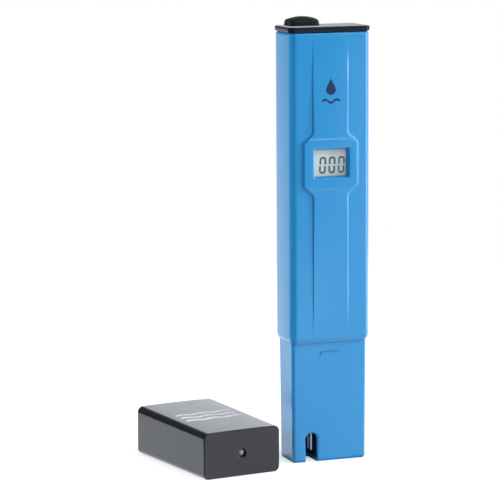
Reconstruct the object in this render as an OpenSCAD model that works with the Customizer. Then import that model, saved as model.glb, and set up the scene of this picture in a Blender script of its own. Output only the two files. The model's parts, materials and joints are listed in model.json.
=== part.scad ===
// Pocket water tester standing on its probe, with its protective cap lying beside it.
// Z is up, the display faces -Y, and the origin is the middle of the probe's flat end.

/* [Body shell] */
// Width of the body shell
body_w = 33.6; // [32.8:0.1:38]
// Depth of the body shell, front to back
body_d = 18.2; // [18:0.1:22]
// Radius of the shell's upright corners
body_r = 2.6; // [2.3:0.1:3.2]
// Wall of the shell
body_wall = 1.8; // [1.6:0.1:2]
// Height of the shell's top edge
body_top = 169; // [165:0.5:185]
// Height of the bevel round the shell's lower end
lip_h = 2; // [1:0.1:3]
// How far that bevel draws in
lip_in = 0.9; // [0.3:0.1:1.1]

/* [Raised front strip] */
// Width of the strip
strip_w = 15.2; // [12:0.1:17]
// Distance from the shell's lower end up to where the strip fades out
strip_foot = 5.6; // [4.4:0.1:12]
// Distance from the shell's top down to where the strip fades out
strip_head = 5.4; // [5:0.1:19]
// How far the strip stands out beside the display frame
strip_rise = 0.85; // [0.4:0.05:1.1]

/* [Display] */
// Distance from the shell's top down to the display's middle
display_drop = 51.1; // [47:0.1:57]
// Distance from the shell's side to the raised frame round the display
frame_border = 4.9; // [3.4:0.1:5.4]
// Height of the frame's upright sides
frame_side = 16.8; // [14:0.1:18]
// Height of each sloping shoulder that leads to the strip
frame_shoulder = 4.2; // [3:0.1:6]
// Height of the frame's flat face
frame_face = 20; // [18:0.1:22]
// How far the frame stands out from the body's front
frame_rise = 1.3; // [1.2:0.05:1.5]
// Height of the ramp between the strip and the frame's face
frame_ramp = 0.8; // [0.4:0.1:1.5]
// Border of the frame beside the display opening
window_border = 4.3; // [3.9:0.1:5.4]
// Height of the display opening
window_h = 11.6; // [10:0.1:12]
// Depth from the frame's face to the clear window
window_sill = 1.4; // [1:0.1:1.6]
// Thickness of the clear window
lens_t = 1; // [0.8:0.1:1.2]
// Hidden edge of the clear window behind the opening
lens_edge = 1.3; // [0.8:0.1:1.8]
// Hidden edge of the display glass beside the opening
glass_edge = 2.4; // [2.2:0.1:2.9]
// Hidden edge of the display glass above and below the opening
glass_rim = 2.2; // [2.1:0.1:2.7]
// Thickness of the display glass
glass_t = 2.2; // [1.8:0.1:2.4]
// Wall of the frame that clamps the glass
clamp_wall = 1.6; // [1.4:0.1:1.8]
// Thickness of the contact rubbers between the glass and the board
rubber_t = 2.2; // [1.9:0.1:2.6]
// Width of the contact rubbers
rubber_w = 2; // [1.5:0.1:2.4]
// Diameter of the pegs that fix the clamp frame to the board
peg_d = 1.2; // [1:0.1:1.3]

/* [Probe] */
// Length of the probe below the shell
probe_len = 47.6; // [45:0.1:50]
// Step from the shell to the probe at the sides
step_side = 1.05; // [0.9:0.05:1.2]
// Step from the shell to the probe at the front and the back
step_front = 1.75; // [1.6:0.05:1.9]
// How much each face of the probe draws in towards its end
probe_draft = 0.35; // [0:0.05:0.5]
// Radius of the probe's upright corners
probe_r = 1.9; // [0.9:0.1:2.2]
// Thickness of the probe's floor
probe_floor = 1.4; // [1:0.1:2]
// Length of the neck that plugs into the shell
neck_len = 10; // [8:0.5:12]
// Wall of that neck
neck_wall = 1.6; // [1.4:0.1:1.7]
// Radius of the corners inside the probe
hollow_r = 0.8; // [0.5:0.1:1.2]
// Width of the snap rib on the probe's front
rib_w = 7.7; // [5:0.1:10]
// Height of the snap rib
rib_h = 2.4; // [1.5:0.1:3]
// How far the snap rib stands out
rib_rise = 0.4; // [0.2:0.05:0.6]
// Distance from the shell down to the snap rib's top
rib_drop = 3.7; // [3:0.1:6]

/* [Electrodes] */
// Middle of the slot, from the probe's left side
slot_side = 8.2; // [7.6:0.05:8.9]
// Width of the slot
slot_w = 5; // [4.4:0.1:5.4]
// Height of the slot to the top of its arch
slot_h = 11.9; // [11:0.1:12.2]
// Depth of the slot from the probe's front
slot_depth = 10.6; // [10:0.1:11]
// Height of the electrode holder's top above the probe's end
holder_top = 15; // [14.5:0.1:17]
// Diameter of the electrode pins
pin_d = 1.2; // [1:0.1:1.4]
// Middle of the pins, right of the slot's middle
pin_off = 0.6; // [0.4:0.1:1.1]
// Level of the pins' lower ends
pin_low = 4.2; // [4.1:0.1:6]
// Length of the pins above the holder
pin_tail = 6; // [4:0.5:8]
// Gap that the solder fills between the pins and the board
solder_gap = 0.2; // [0.1:0.05:0.3]
// Diameter of the thermistor bead
bead_d = 2.2; // [1.8:0.1:2.4]
// Length of the thermistor bead
bead_len = 7; // [5:0.5:9]
// Middle of the thermistor, right of the probe's middle
bead_off = 2; // [0:0.1:5]
// Diameter of the thermistor's leads
lead_d = 0.5; // [0.4:0.05:0.6]
// Spacing of the thermistor's leads
lead_pitch = 1.2; // [0.8:0.1:1.4]

/* [Circuit board] */
// Thickness of the board
board_t = 1.6; // [1.2:0.1:1.8]
// Gap from the board's edge to the shell's side wall
board_side = 1.3; // [1:0.1:1.6]
// Gap from the board's tail to the probe's side wall
tail_side = 1.9; // [1.4:0.1:2.9]
// Gap between the probe's neck and the wide part of the board
neck_clear = 1; // [0.5:0.1:2]
// Hold of the guide rails over the board's edge
rail_hold = 0.7; // [0.5:0.1:0.7]
// Thickness of the guide rails
rail_t = 1; // [0.8:0.1:1.4]
// Width of the driver chip
chip_w = 10; // [8:0.5:12]
// Height of the driver chip off the board
chip_t = 1.6; // [1:0.1:2.5]
// Distance from the display's middle down to the trimmer's axis
trimmer_drop = 31.9; // [23:0.1:38]
// Width of the trimmer's body
trimmer_w = 7; // [6:0.1:9]
// Height of the trimmer's body off the board
trimmer_t = 5; // [4:0.1:6]
// Diameter of the trimmer's rotor
rotor_d = 3; // [2.6:0.1:3.4]
// Diameter of the access hole in the shell's back
access_d = 3.6; // [3.5:0.1:4.5]
// Length of the board springs' feet on the board
spring_foot = 5; // [4:0.5:8]
// Rise of the board springs to the drawer's contact pads
spring_rise = 3.5; // [3:0.1:5]
// How far the board springs lean back as they rise
spring_lean = 2; // [1.5:0.1:2.5]
// Width of the board springs and the contact strips they touch
spring_w = 3; // [2.4:0.1:3.4]
// Gap between the guide rails and the board springs
spring_side = 1.1; // [0.9:0.1:1.5]

/* [Battery drawer] */
// Thickness of the top plate
plate_t = 2.2; // [2:0.1:3]
// How far the top plate laps over the shell
plate_lap = 0.2; // [0:0.05:0.4]
// Rounding of the top plate's upper edge
plate_round = 0.8; // [0.4:0.1:1.2]
// Height of the solid collar under the plate
collar_h = 2.2; // [2:0.1:3]
// Height of the switch's room under the collar
room_h = 4; // [3.8:0.1:5]
// Thickness of the web between that room and the cells
web_t = 0.9; // [0.8:0.1:1.4]
// Thickness of the tray's floor
tray_floor = 2; // [1.5:0.1:2.5]
// Thickness of the tray's end walls
tray_end = 1.2; // [1:0.1:1.4]
// Diameter of a button cell
cell_d = 11.6; // [11:0.1:11.6]
// Height of a button cell
cell_t = 5.4; // [5:0.1:5.6]
// Diameter of a button cell's smaller cap
cell_cap_d = 9.5; // [9:0.1:10]
// Height of that cap above the can
cell_cap_t = 0.8; // [0.5:0.1:1]
// Thickness of the contact strips
metal_t = 0.4; // [0.3:0.05:0.5]
// Height of the bent leaf that presses on the cells
leaf_h = 6; // [5:0.1:7]
// Height of the seal rings
seal_h = 1.2; // [1:0.1:1.4]
// Depth of the seal grooves
seal_depth = 0.8; // [0.6:0.05:0.9]

/* [Switch] */
// Middle of the knob when on, from the plate's left end
knob_end = 8.9; // [8.4:0.1:9.1]
// Middle of the knob, behind the plate's middle
knob_back = 1.2; // [0.8:0.1:1.6]
// Width of the knob
knob_w = 12.5; // [10:0.1:13]
// Depth of the knob
knob_d = 9.4; // [7:0.1:11]
// Height of the knob's crown above the plate
knob_h = 3.6; // [3:0.1:5]
// Radius of the knob's crowned top
knob_crown = 13; // [11:0.5:20]
// Travel of the switch from on to off
knob_travel = 4; // [3:0.1:4.5]
// Width of the stem under the knob
stem_w = 3.6; // [3:0.1:4]
// Depth of the stem
stem_d = 2.2; // [1.8:0.1:2.4]
// Height of the carrier under the plate
carrier_h = 2.2; // [1.8:0.1:2.3]
// Thickness of the carrier under the stem
carrier_floor = 0.3; // [0.2:0.05:0.5]
// Rim of the carrier round the stem
carrier_rim = 1.2; // [0.8:0.1:1.4]
// Thickness of the wiper
wiper_t = 0.3; // [0.2:0.05:0.4]
// Distance of each wiper finger from the carrier's middle
finger_off = 0.9; // [0.8:0.05:1.1]
// Diameter of the wiper's fingers
finger_d = 0.8; // [0.6:0.1:1]
// Width of the strips under the fingers
track_w = 1.2; // [1:0.1:1.4]

/* [Protective cap] */
// Free space past the probe's end when the cap is on
cap_room = 6; // [5:0.5:12]
// Thickness of the cap's closed end
cap_end = 1.8; // [1.4:0.1:2.4]
// How far each side of the cap's closed end lies inside the line of the shell's side
cap_inset = 0.2; // [0:0.05:0.4]
// How much each face of the cap draws in towards its closed end
cap_draft = 0.55; // [0.2:0.05:0.8]
// Radius of the cap's long edges
cap_r = 2.2; // [2:0.1:2.6]
// Diameter of the dimple in the closed end
dimple_d = 2.8; // [2:0.1:3.5]
// Depth of the dimple
dimple_depth = 0.7; // [0.4:0.1:1]
// Clear space between the shell's side and the cap's closed end as it lies
cap_apart = 8.1; // [5:0.1:12]
// How far the cap's closed end lies in front of the tester's middle
cap_fore = 19.3; // [10:0.1:30]
// Turn of the cap on the table
cap_turn = 8.5; // [0:0.1:12]

/* [Clearances] */
// Gap round pieces that are glued or clamped in place
seat_gap = 0.1; // [0.05:0.01:0.12]
// Gap between the drawer and the shell, and round the switch's stem
slide_gap = 0.2; // [0.15:0.01:0.25]
// Radial gap of pins and rotors in their holes
turn_gap = 0.05; // [0.02:0.01:0.08]
// Gap round each button cell
cell_gap = 0.15; // [0.1:0.01:0.2]
// Gap between the cap and the probe when the cap is on
cap_gap = 0.2; // [0.15:0.01:0.3]

/* [Hidden] */
$fn = 64;
// Overrun that carries a cut clear of a face
over = 1;
// Depth to which an added shape sinks into the wall that carries it
sink = 0.6;
cell_count = 4;

// Inside of the shell
inner_w = body_w - 2 * body_wall;
inner_d = body_d - 2 * body_wall;
inner_r = body_r - body_wall;
front_y = -body_d / 2;
back_in = body_d / 2 - body_wall;

// Strip, display frame and display
strip_low = probe_len + strip_foot;
strip_high = body_top - strip_head;
display_z = body_top - display_drop;
frame_w = body_w - 2 * frame_border;
window_w = frame_w - 2 * window_border;
glass_w = window_w + 2 * glass_edge;
glass_h = window_h + 2 * glass_rim;

// Layers behind the display frame's face, front to back
face_y = front_y - frame_rise;
lens_y = face_y + window_sill;
glass_y = lens_y + lens_t;
glass_back = glass_y + glass_t;
board_y = glass_back + rubber_t;
board_back = board_y + board_t;

// Probe and its neck
probe_w = body_w - 2 * step_side;
probe_d = body_d - 2 * step_front;
neck_w = inner_w - 2 * seat_gap;
neck_d = inner_d - 2 * seat_gap;
neck_r = inner_r - seat_gap;
neck_top = probe_len + neck_len;
hollow_w = neck_w - 2 * neck_wall;
hollow_d = neck_d - 2 * neck_wall;
slot_back = -probe_d / 2 + slot_depth;
slot_x = -probe_w / 2 + slot_side;
arch_z = slot_h - slot_w / 2;

// Electrode pins, one on each side of the board
pin_x = slot_x + pin_off;
pin_top = holder_top + pin_tail;
pin_reach = pin_d / 2 + solder_gap;
front_pin_y = board_y - pin_reach;
rear_pin_y = board_back + pin_reach;
bead_y = board_y - lead_d / 2 - turn_gap;

// Battery drawer
plug_w = inner_w - 2 * slide_gap;
plug_d = inner_d - 2 * slide_gap;
plug_r = inner_r - slide_gap / 2;
plate_w = body_w + 2 * plate_lap;
plate_d = body_d + 2 * plate_lap;
plate_r = body_r + plate_lap;
plate_top = body_top + plate_t;
collar_low = body_top - collar_h;
room_low = collar_low - room_h;
bay_r = cell_d / 2 + cell_gap;
bay_z = room_low - web_t - bay_r;
tray_low = bay_z - bay_r - tray_floor;
bay_half = plug_w / 2 - tray_end;
stack_half = cell_count * cell_t / 2;
pad_low = tray_low - metal_t;
pad_front = board_back;

// Board, from the electrode holder up to just below the drawer
board_top = pad_low - spring_rise;
board_w = inner_w - 2 * board_side;
tail_w = hollow_w - 2 * tail_side;
wide_low = neck_top + neck_clear;
rail_in = board_w / 2 - rail_hold;
spring_off = rail_in - spring_side - spring_w / 2;
trimmer_z = display_z - trimmer_drop;
rotor_y = board_back + trimmer_t / 2;

// Switch
knob_x = -plate_w / 2 + knob_end;
knob_low = plate_top + seat_gap;
carrier_top = collar_low - seat_gap;
carrier_low = carrier_top - carrier_h;
carrier_w = stem_w + 2 * carrier_rim;
carrier_d = stem_d + 2 * carrier_rim;

// Cap
cap_len = cap_end + cap_room + probe_len;
cap_w = body_w - 2 * cap_inset;
cap_in_w = probe_w + 2 * cap_gap;
cap_in_d = probe_d + 2 * cap_gap;
cap_rim = 0.4;
cap_tilt = atan(cap_draft / (cap_len - 2 * cap_rim));
cap_x = -body_w / 2 - cap_apart - cap_w / 2 * cos(cap_turn);

blue = "#4a9ad4";
black = "#2a2c33";
metal = "#c9ccd0";
brass = "#c9a24a";

// Flat rectangle with round corners, centred
module round_rect(w, d, r) {
    square([w - 2 * r, d], center = true);
    square([w, d - 2 * r], center = true);
    for (x = [-1, 1], y = [-1, 1])
        translate([x * (w / 2 - r), y * (d / 2 - r)])
            circle(r);
}

// Upright block with round corners, standing on level z
module round_block(w, d, r, z, h) {
    translate([0, 0, z])
        linear_extrude(h)
            round_rect(w, d, r);
}

// Upright ring with round corners, standing on level z
module round_ring(w, d, r, wall, z, h) {
    difference() {
        round_block(w, d, r, z, h);
        round_block(w - 2 * wall, d - 2 * wall, r / 2, z - over, h + 2 * over);
    }
}

// Block given by its low corner and its size
module block(low, size) {
    translate(low)
        cube(size);
}

// Block of width w centred on x, with its front face at y and its middle at level z
module panel(x, y, z, w, t, h) {
    block([x - w / 2, y, z - h / 2], [w, t, h]);
}

// Rod along Y that starts at y
module cross_rod(x, y, z, d, len) {
    translate([x, y, z])
        rotate([-90, 0, 0])
            cylinder(d = d, h = len);
}

// Outline of the strip and the display frame, seen from the front
module strip_outline() {
    side_low = display_z - frame_side / 2;
    side_high = display_z + frame_side / 2;
    half = [
        [strip_w / 2, strip_low],
        [strip_w / 2, side_low - frame_shoulder],
        [frame_w / 2, side_low],
        [frame_w / 2, side_high],
        [strip_w / 2, side_high + frame_shoulder],
        [strip_w / 2, strip_high]
    ];
    polygon(concat(half, [for (i = [len(half) - 1:-1:0]) [-half[i][0], half[i][1]]]));
}

// Profile of the strip and the display frame, seen from the side, as rise against level
module strip_profile() {
    face_low = display_z - frame_face / 2;
    face_high = display_z + frame_face / 2;
    polygon([
        [-sink, strip_low],
        [0, strip_low],
        [strip_rise, face_low - frame_ramp],
        [frame_rise, face_low],
        [frame_rise, face_high],
        [strip_rise, face_high + frame_ramp],
        [0, strip_high],
        [-sink, strip_high]
    ]);
}

// Raised strip on the shell's front
module raised_strip() {
    intersection() {
        translate([0, front_y + body_wall, 0])
            rotate([90, 0, 0])
                linear_extrude(body_wall + 2 * frame_rise)
                    strip_outline();
        translate([-frame_w, front_y, 0])
            rotate([90, 0, -90])
                mirror([0, 0, 1])
                    linear_extrude(2 * frame_w)
                        strip_profile();
    }
}

// Pair of guide rails on one side wall of the shell
module guide_rails(side) {
    rail_len = inner_w / 2 + sink - rail_in;
    for (y = [board_y - seat_gap - rail_t, board_back + seat_gap])
        translate([side * (rail_in + rail_len / 2), y + rail_t / 2, (wide_low + board_top) / 2])
            cube([rail_len, rail_t, board_top - wide_low], center = true);
}

module body_shell() {
    color(blue) {
        difference() {
            union() {
                round_block(body_w, body_d, body_r, probe_len + lip_h, body_top - probe_len - lip_h);
                hull() {
                    round_block(body_w, body_d, body_r, probe_len + lip_h, lip_h / 4, $fn = 32);
                    round_block(body_w - 2 * lip_in, body_d - 2 * lip_in, body_r - lip_in,
                        probe_len, lip_h / 4, $fn = 32);
                }
                raised_strip();
            }
            round_block(inner_w, inner_d, inner_r, probe_len - over, body_top - probe_len + 2 * over);
            panel(0, face_y - over, display_z, window_w, window_sill + 2 * over, window_h);
            panel(0, lens_y, display_z, window_w + 2 * lens_edge + 2 * seat_gap, body_wall + frame_rise,
                window_h + 2 * lens_edge + 2 * seat_gap);
            panel(0, glass_y, display_z, glass_w + 2 * seat_gap, body_wall + frame_rise,
                glass_h + 2 * seat_gap);
            cross_rod(0, back_in - over, trimmer_z, access_d, body_wall + 2 * over);
        }
        for (side = [-1, 1])
            guide_rails(side);
    }
}

module display_window() {
    color("#dfe9ee", 0.4)
        panel(0, lens_y, display_z, window_w + 2 * lens_edge, lens_t, window_h + 2 * lens_edge);
}

module lcd_panel() {
    color("#b9c4c2")
        panel(0, glass_y, display_z, glass_w, glass_t, glass_h);
}

// Places of the pegs that fix the clamp frame to the board
module at_pegs() {
    for (side = [-1, 1], level = [-1, 1])
        translate([side * (glass_w + 2 * seat_gap + clamp_wall) / 2, 0, display_z + level * glass_h / 3])
            children();
}

module display_frame() {
    color(black) {
        difference() {
            panel(0, -back_in, display_z, glass_w + 2 * seat_gap + 2 * clamp_wall, board_y + back_in,
                glass_h + 2 * seat_gap + 2 * clamp_wall);
            panel(0, -back_in - over, display_z, glass_w + 2 * seat_gap, board_y + back_in + 2 * over,
                glass_h + 2 * seat_gap);
        }
        at_pegs()
            cross_rod(0, board_y - over, 0, peg_d, over + board_t + peg_d / 2);
    }
}

// Contact rubber along the upper (level 1) or lower (level -1) edge of the glass
module contact_rubber(level) {
    color("#55585c")
        panel(0, glass_back, display_z + level * (glass_h - rubber_w) / 2, glass_w - rubber_w, rubber_t,
            rubber_w);
}

module upper_contact_rubber() {
    contact_rubber(1);
}

module lower_contact_rubber() {
    contact_rubber(-1);
}

// Arched slot that opens at the probe's front and end
module electrode_slot() {
    reach = probe_d / 2 + over + slot_back;
    translate([slot_x, slot_back - reach, 0]) {
        cross_rod(0, 0, arch_z, slot_w, reach);
        block([-slot_w / 2, 0, -over], [slot_w, reach, arch_z + over]);
    }
}

// Snap rib with a square top edge that fades into the probe's front below
module snap_rib() {
    top_y = -probe_d / 2;
    translate([-rib_w / 2, 0, probe_len - rib_drop])
        rotate([90, 0, 90])
            linear_extrude(rib_w)
                polygon([
                    [top_y + sink, 0],
                    [top_y - rib_rise, 0],
                    [top_y + probe_draft / 2, -rib_h],
                    [top_y + sink, -rib_h]
                ]);
}

module probe_housing() {
    color(blue)
        difference() {
            union() {
                hull() {
                    round_block(probe_w, probe_d, probe_r, probe_len - lip_h, lip_h, $fn = 32);
                    round_block(probe_w - 2 * probe_draft, probe_d - 2 * probe_draft, probe_r,
                        0, probe_floor / 2, $fn = 32);
                }
                round_block(neck_w, neck_d, neck_r, probe_len - over, neck_len + over);
                snap_rib();
            }
            round_block(hollow_w, hollow_d, hollow_r, probe_floor, neck_top);
            electrode_slot();
            round_ring(neck_w + 2 * over, neck_d + 2 * over, neck_r + over, over + seal_depth,
                probe_len + neck_len / 2, seal_h + 2 * seat_gap);
        }
}

// Rubber ring in a groove of a plug, just clear of the shell round it
module seal_ring(plug_width, plug_depth, z) {
    rise = (inner_w - plug_width) / 2 - turn_gap;
    color("#1e1f22")
        round_ring(plug_width + 2 * rise, plug_depth + 2 * rise, inner_r - turn_gap,
            rise + seal_depth - turn_gap, z + seat_gap, seal_h);
}

module probe_seal() {
    seal_ring(neck_w, neck_d, probe_len + neck_len / 2);
}

module electrode_holder() {
    color(black)
        difference() {
            round_block(hollow_w - 2 * seat_gap, hollow_d - 2 * seat_gap, hollow_r, probe_floor,
                holder_top - probe_floor);
            electrode_slot();
            for (y = [front_pin_y, rear_pin_y])
                translate([pin_x, y, arch_z])
                    cylinder(d = pin_d + 2 * turn_gap, h = holder_top);
            translate([bead_off, bead_y, holder_top - bead_len])
                cylinder(d = bead_d + 2 * turn_gap, h = bead_len + over);
        }
}

// Electrode pin with a round lower end
module electrode(y) {
    color(metal)
        translate([pin_x, y, 0]) {
            translate([0, 0, pin_low + pin_d / 2])
                cylinder(d = pin_d, h = pin_top - pin_low - pin_d / 2);
            translate([0, 0, pin_low + pin_d / 2])
                sphere(d = pin_d);
        }
}

module front_electrode() {
    electrode(front_pin_y);
}

module rear_electrode() {
    electrode(rear_pin_y);
}

module electrode_solder() {
    color("#b4b7ba")
        difference() {
            for (y = [board_y - pin_reach, board_back])
                block([pin_x - pin_d, y, holder_top + pin_tail / 4], [2 * pin_d, pin_reach, pin_tail / 2]);
            for (y = [front_pin_y, rear_pin_y])
                translate([pin_x, y, holder_top])
                    cylinder(d = pin_d + turn_gap, h = 2 * pin_tail);
        }
}

module thermistor() {
    color("#3a2f2a") {
        translate([bead_off, bead_y, holder_top - bead_len + seat_gap])
            cylinder(d = bead_d, h = bead_len - seat_gap);
        for (side = [-1, 1])
            translate([bead_off + side * lead_pitch / 2, bead_y, holder_top - bead_d])
                cylinder(d = lead_d, h = bead_d + pin_tail);
    }
}

module circuit_board() {
    color("#2f7d4f")
        difference() {
            union() {
                block([-board_w / 2, board_y, wide_low], [board_w, board_t, board_top - wide_low]);
                block([-tail_w / 2, board_y, holder_top], [tail_w, board_t, wide_low - holder_top + sink]);
            }
            at_pegs()
                cross_rod(0, board_y - over, 0, peg_d + 2 * seat_gap, board_t + 2 * over);
        }
}

module driver_chip() {
    color("#232427")
        panel(0, board_back, display_z, chip_w, chip_t, chip_w);
}

// Two columns of small chip resistors between the trimmer and the driver chip
module chip_resistors() {
    resistor = [2, 0.6, 1.2];
    pitch = 3;
    count = 3;
    first = (trimmer_z + trimmer_w / 2 + display_z - chip_w / 2) / 2 - pitch * (count - 1) / 2;
    color("#303236")
        for (side = [-1, 1], i = [0:count - 1])
            panel(side * chip_w / 4, board_back, first + i * pitch, resistor[0], resistor[1], resistor[2]);
}

module trimmer_body() {
    color("#2b5fa8")
        difference() {
            panel(0, board_back, trimmer_z, trimmer_w, trimmer_t, trimmer_w);
            cross_rod(0, rotor_y, trimmer_z, rotor_d + 2 * turn_gap, trimmer_t / 2 + over);
        }
}

module trimmer_rotor() {
    start = rotor_y + seat_gap;
    screw_slot = [rotor_d, 1.6, 0.6];
    color(brass)
        difference() {
            cross_rod(0, start, trimmer_z, rotor_d, back_in - seat_gap - start);
            panel(0, back_in - seat_gap - screw_slot[1] / 2, trimmer_z, screw_slot[0] + over, screw_slot[1],
                screw_slot[2]);
        }
}

// Leaf spring on the board's back that rises to a contact pad under the drawer
module board_spring(side) {
    tip = pad_low - turn_gap;
    color(brass)
        translate([side * spring_off - spring_w / 2, 0, 0])
            rotate([90, 0, 90])
                linear_extrude(spring_w)
                    polygon([
                        [board_back, board_top - spring_foot],
                        [board_back + metal_t, board_top - spring_foot],
                        [board_back + metal_t, board_top],
                        [board_back + spring_lean, tip - metal_t],
                        [board_back + spring_lean, tip],
                        [board_back + spring_lean - metal_t, tip],
                        [board_back, board_top]
                    ]);
}

module left_board_spring() {
    board_spring(-1);
}

module right_board_spring() {
    board_spring(1);
}

// Space cut in the drawer's collar and plate for the switch's stem
module stem_way() {
    block([knob_x - stem_w / 2 - slide_gap, knob_back - stem_d / 2 - slide_gap, collar_low - over],
        [stem_w + knob_travel + 2 * slide_gap, stem_d + 2 * slide_gap, collar_h + plate_t + 2 * over]);
}

// Cradle of the cells, open to the front
module cell_bay() {
    translate([-bay_half, 0, bay_z])
        rotate([0, 90, 0])
            cylinder(r = bay_r, h = 2 * bay_half);
    block([-bay_half, -plug_d, bay_z - bay_r], [2 * bay_half, plug_d, 2 * bay_r]);
}

module battery_drawer() {
    strip_way = metal_t + seat_gap;
    strip_room = spring_w + 2 * seat_gap;
    color(black)
        difference() {
            union() {
                hull() {
                    round_block(plate_w, plate_d, plate_r, body_top, plate_t - plate_round, $fn = 32);
                    round_block(plate_w - 2 * plate_round, plate_d - 2 * plate_round, plate_r - plate_round,
                        body_top, plate_t, $fn = 32);
                }
                round_block(plug_w, plug_d, plug_r, tray_low, body_top - tray_low + plate_t / 2);
            }
            cell_bay();
            block([-bay_half, -plug_d, room_low], [2 * bay_half, plug_d + bay_r, room_h]);
            stem_way();
            round_ring(plug_w + 2 * over, plug_d + 2 * over, plug_r + over, over + seal_depth,
                collar_low + (collar_h - seal_h) / 2 - seat_gap, seal_h + 2 * seat_gap);
            // Way of the positive strip through the web, and of the negative strip through the floor
            block([-bay_half, -strip_room / 2, room_low - web_t - over],
                [strip_way, strip_room, web_t + 2 * over]);
            block([bay_half - strip_way, -strip_room / 2, tray_low - over],
                [strip_way, strip_room, tray_floor + bay_r]);
            // Way of the switch strip through the back wall and down its outside
            block([-spring_off - strip_room / 2, bay_r - over, room_low], [strip_room, plug_d, strip_way]);
            block([-spring_off - strip_room / 2, plug_d / 2 - strip_way, tray_low - over],
                [strip_room, over + strip_way, room_low - tray_low + over + strip_way]);
        }
}

module drawer_seal() {
    seal_ring(plug_w, plug_d, collar_low + (collar_h - seal_h) / 2 - seat_gap);
}

// Button cell number i of the row, with its can to the left and its smaller cap to the right
module button_cell(i) {
    color(metal)
        translate([-stack_half + i * cell_t, 0, bay_z])
            rotate([0, 90, 0]) {
                cylinder(d = cell_d, h = cell_t - cell_cap_t);
                cylinder(d = cell_cap_d, h = cell_t);
            }
}

module button_cell_1() {
    button_cell(0);
}

module button_cell_2() {
    button_cell(1);
}

module button_cell_3() {
    button_cell(2);
}

module button_cell_4() {
    button_cell(3);
}

// Plate at the left end of the cells that rises to a strip under the switch
module positive_contact() {
    track_end = knob_x + knob_travel + finger_off + track_w;
    plate_low = bay_z - bay_r / 2;
    color(brass) {
        block([-bay_half, -spring_w / 2, plate_low], [metal_t, spring_w, room_low + metal_t - plate_low]);
        block([-bay_half, knob_back - finger_off - track_w / 2, room_low],
            [track_end + bay_half, track_w, metal_t]);
        translate([-bay_half, 0, bay_z])
            rotate([0, 90, 0])
                cylinder(d = spring_w, h = bay_half - stack_half);
    }
}

// Plate with a bent leaf at the right end of the cells, and a pad under the tray
module negative_contact() {
    color(brass) {
        block([bay_half - metal_t, -spring_w / 2, pad_low], [metal_t, spring_w, bay_z + bay_r / 2 - pad_low]);
        block([spring_off - spring_w / 2, pad_front, pad_low],
            [bay_half - spring_off + spring_w / 2, spring_w / 2 - pad_front, metal_t]);
        translate([0, spring_w / 2, bay_z])
            rotate([90, 0, 0])
                linear_extrude(spring_w)
                    polygon([
                        [bay_half - metal_t, leaf_h / 2],
                        [stack_half, metal_t],
                        [stack_half, -metal_t],
                        [bay_half - metal_t, -leaf_h / 2],
                        [bay_half - metal_t, -leaf_h / 2 + metal_t],
                        [stack_half + metal_t, 0],
                        [bay_half - metal_t, leaf_h / 2 - metal_t]
                    ]);
    }
}

// Strip from the switch, out through the drawer's back and down to a pad under the tray
module switch_terminal() {
    back = plug_d / 2 - turn_gap;
    track_front = knob_back + finger_off - track_w / 2;
    left = -spring_off - spring_w / 2;
    color(brass) {
        block([left, track_front, room_low], [knob_x + finger_off + finger_d / 2 - left, track_w, metal_t]);
        block([left, track_front, room_low], [spring_w, back - track_front, metal_t]);
        block([left, back - metal_t, pad_low], [spring_w, metal_t, room_low + metal_t - pad_low]);
        block([left, pad_front, pad_low], [spring_w, back - pad_front, metal_t]);
    }
}

// Knob's outline, seen along its other side: upright sides and a crowned top
module knob_outline(w) {
    intersection() {
        translate([0, knob_h - knob_crown])
            circle(knob_crown);
        translate([-w / 2, 0])
            square([w, knob_h]);
    }
}

module switch_knob() {
    color(black)
        translate([knob_x, knob_back, 0]) {
            translate([0, 0, knob_low])
                intersection() {
                    translate([0, knob_d / 2, 0])
                        rotate([90, 0, 0])
                            linear_extrude(knob_d)
                                knob_outline(knob_w);
                    translate([-knob_w / 2, 0, 0])
                        rotate([90, 0, 90])
                            linear_extrude(knob_w)
                                knob_outline(knob_d);
                }
            block([-stem_w / 2, -stem_d / 2, carrier_low + carrier_floor],
                [stem_w, stem_d, knob_low + sink - carrier_low - carrier_floor]);
        }
}

module switch_carrier() {
    color("#d8d6cf")
        translate([knob_x, knob_back, 0])
            difference() {
                block([-carrier_w / 2, -carrier_d / 2, carrier_low], [carrier_w, carrier_d, carrier_h]);
                block([-stem_w / 2 - turn_gap, -stem_d / 2 - turn_gap, carrier_low + carrier_floor],
                    [stem_w + 2 * turn_gap, stem_d + 2 * turn_gap, carrier_h]);
            }
}

// Plate under the carrier with a finger for each of the two strips in the switch's room
module switch_wiper() {
    finger_tip = room_low + metal_t + turn_gap;
    color(brass)
        translate([knob_x, knob_back, 0]) {
            block([-stem_w / 2, -carrier_d / 2, carrier_low - wiper_t], [stem_w, carrier_d, wiper_t]);
            for (side = [-1, 1])
                translate([0, side * finger_off, finger_tip])
                    cylinder(d = finger_d, h = carrier_low - finger_tip);
        }
}

// Cap that draws in towards its closed end, lying flat on one of its wide faces
module protective_cap() {
    color(black)
        translate([cap_x, -cap_fore, 0])
            rotate([cap_tilt, 0, cap_turn])
                translate([0, 0, body_d / 2])
                    rotate([-90, 0, 0])
                        difference() {
                            hull() {
                                round_block(cap_w, body_d, cap_r, 0, cap_rim, $fn = 32);
                                round_block(cap_w + 2 * cap_draft, body_d + 2 * cap_draft, cap_r,
                                    cap_len - cap_rim, cap_rim, $fn = 32);
                            }
                            hull() {
                                round_block(cap_in_w - 2 * probe_draft, cap_in_d - 2 * probe_draft,
                                    probe_r + cap_gap, cap_end, cap_rim, $fn = 32);
                                round_block(cap_in_w, cap_in_d, probe_r + cap_gap, cap_len, over, $fn = 32);
                            }
                            translate([0, 0, -over])
                                cylinder(d = dimple_d, h = dimple_depth + over);
                        }
}

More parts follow.
